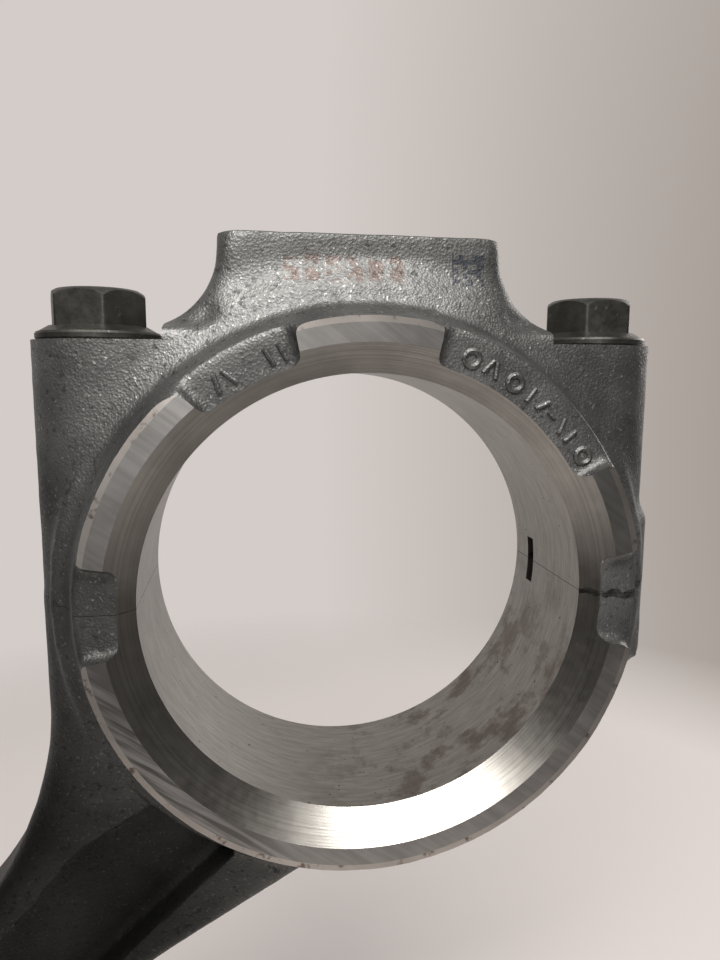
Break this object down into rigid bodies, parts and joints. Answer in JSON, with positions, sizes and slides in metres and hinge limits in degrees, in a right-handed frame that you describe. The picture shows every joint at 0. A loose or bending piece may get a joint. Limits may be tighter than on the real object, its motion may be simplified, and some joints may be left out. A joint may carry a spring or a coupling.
{
  "type": "connecting rod",
  "caption": "Forged steel connecting rod for a large diesel engine, with an obliquely split big end, flanged cap bolts and a bushed small end.",
  "frame": {"origin": "centre of the big-end bore, midway between its thrust faces", "axes": "+Y along the big-end bore, +Z along the cap bolts from the rod towards the cap, +X along the split face away from the shank"},
  "size_m": [0.2923, 0.054, 0.324],
  "materials": {
    "forged_steel": "shot-blasted forging with machined bores and faces",
    "bolt_steel": "phosphated",
    "bronze": "bored bronze"
  },
  "bodies": {
    "rod": {"rod_body": "forged_steel", "small_end_bush": "bronze"},
    "cap": {"bearing_cap": "forged_steel"},
    "left_bolt": {"bolt_left": "bolt_steel"},
    "right_bolt": {"bolt_right": "bolt_steel"}
  },
  "joints": [
    {"name": "cap_lift", "type": "slide", "parent": "rod", "child": "cap", "axis": [0, 0, 1], "range_m": [0, 0.08]},
    {"name": "left_bolt_draw", "type": "slide", "parent": "cap", "child": "left_bolt", "axis": [0, 0, 1], "range_m": [0, 0.1]},
    {"name": "right_bolt_draw", "type": "slide", "parent": "cap", "child": "right_bolt", "axis": [0, 0, 1], "range_m": [0, 0.1]}
  ]
}
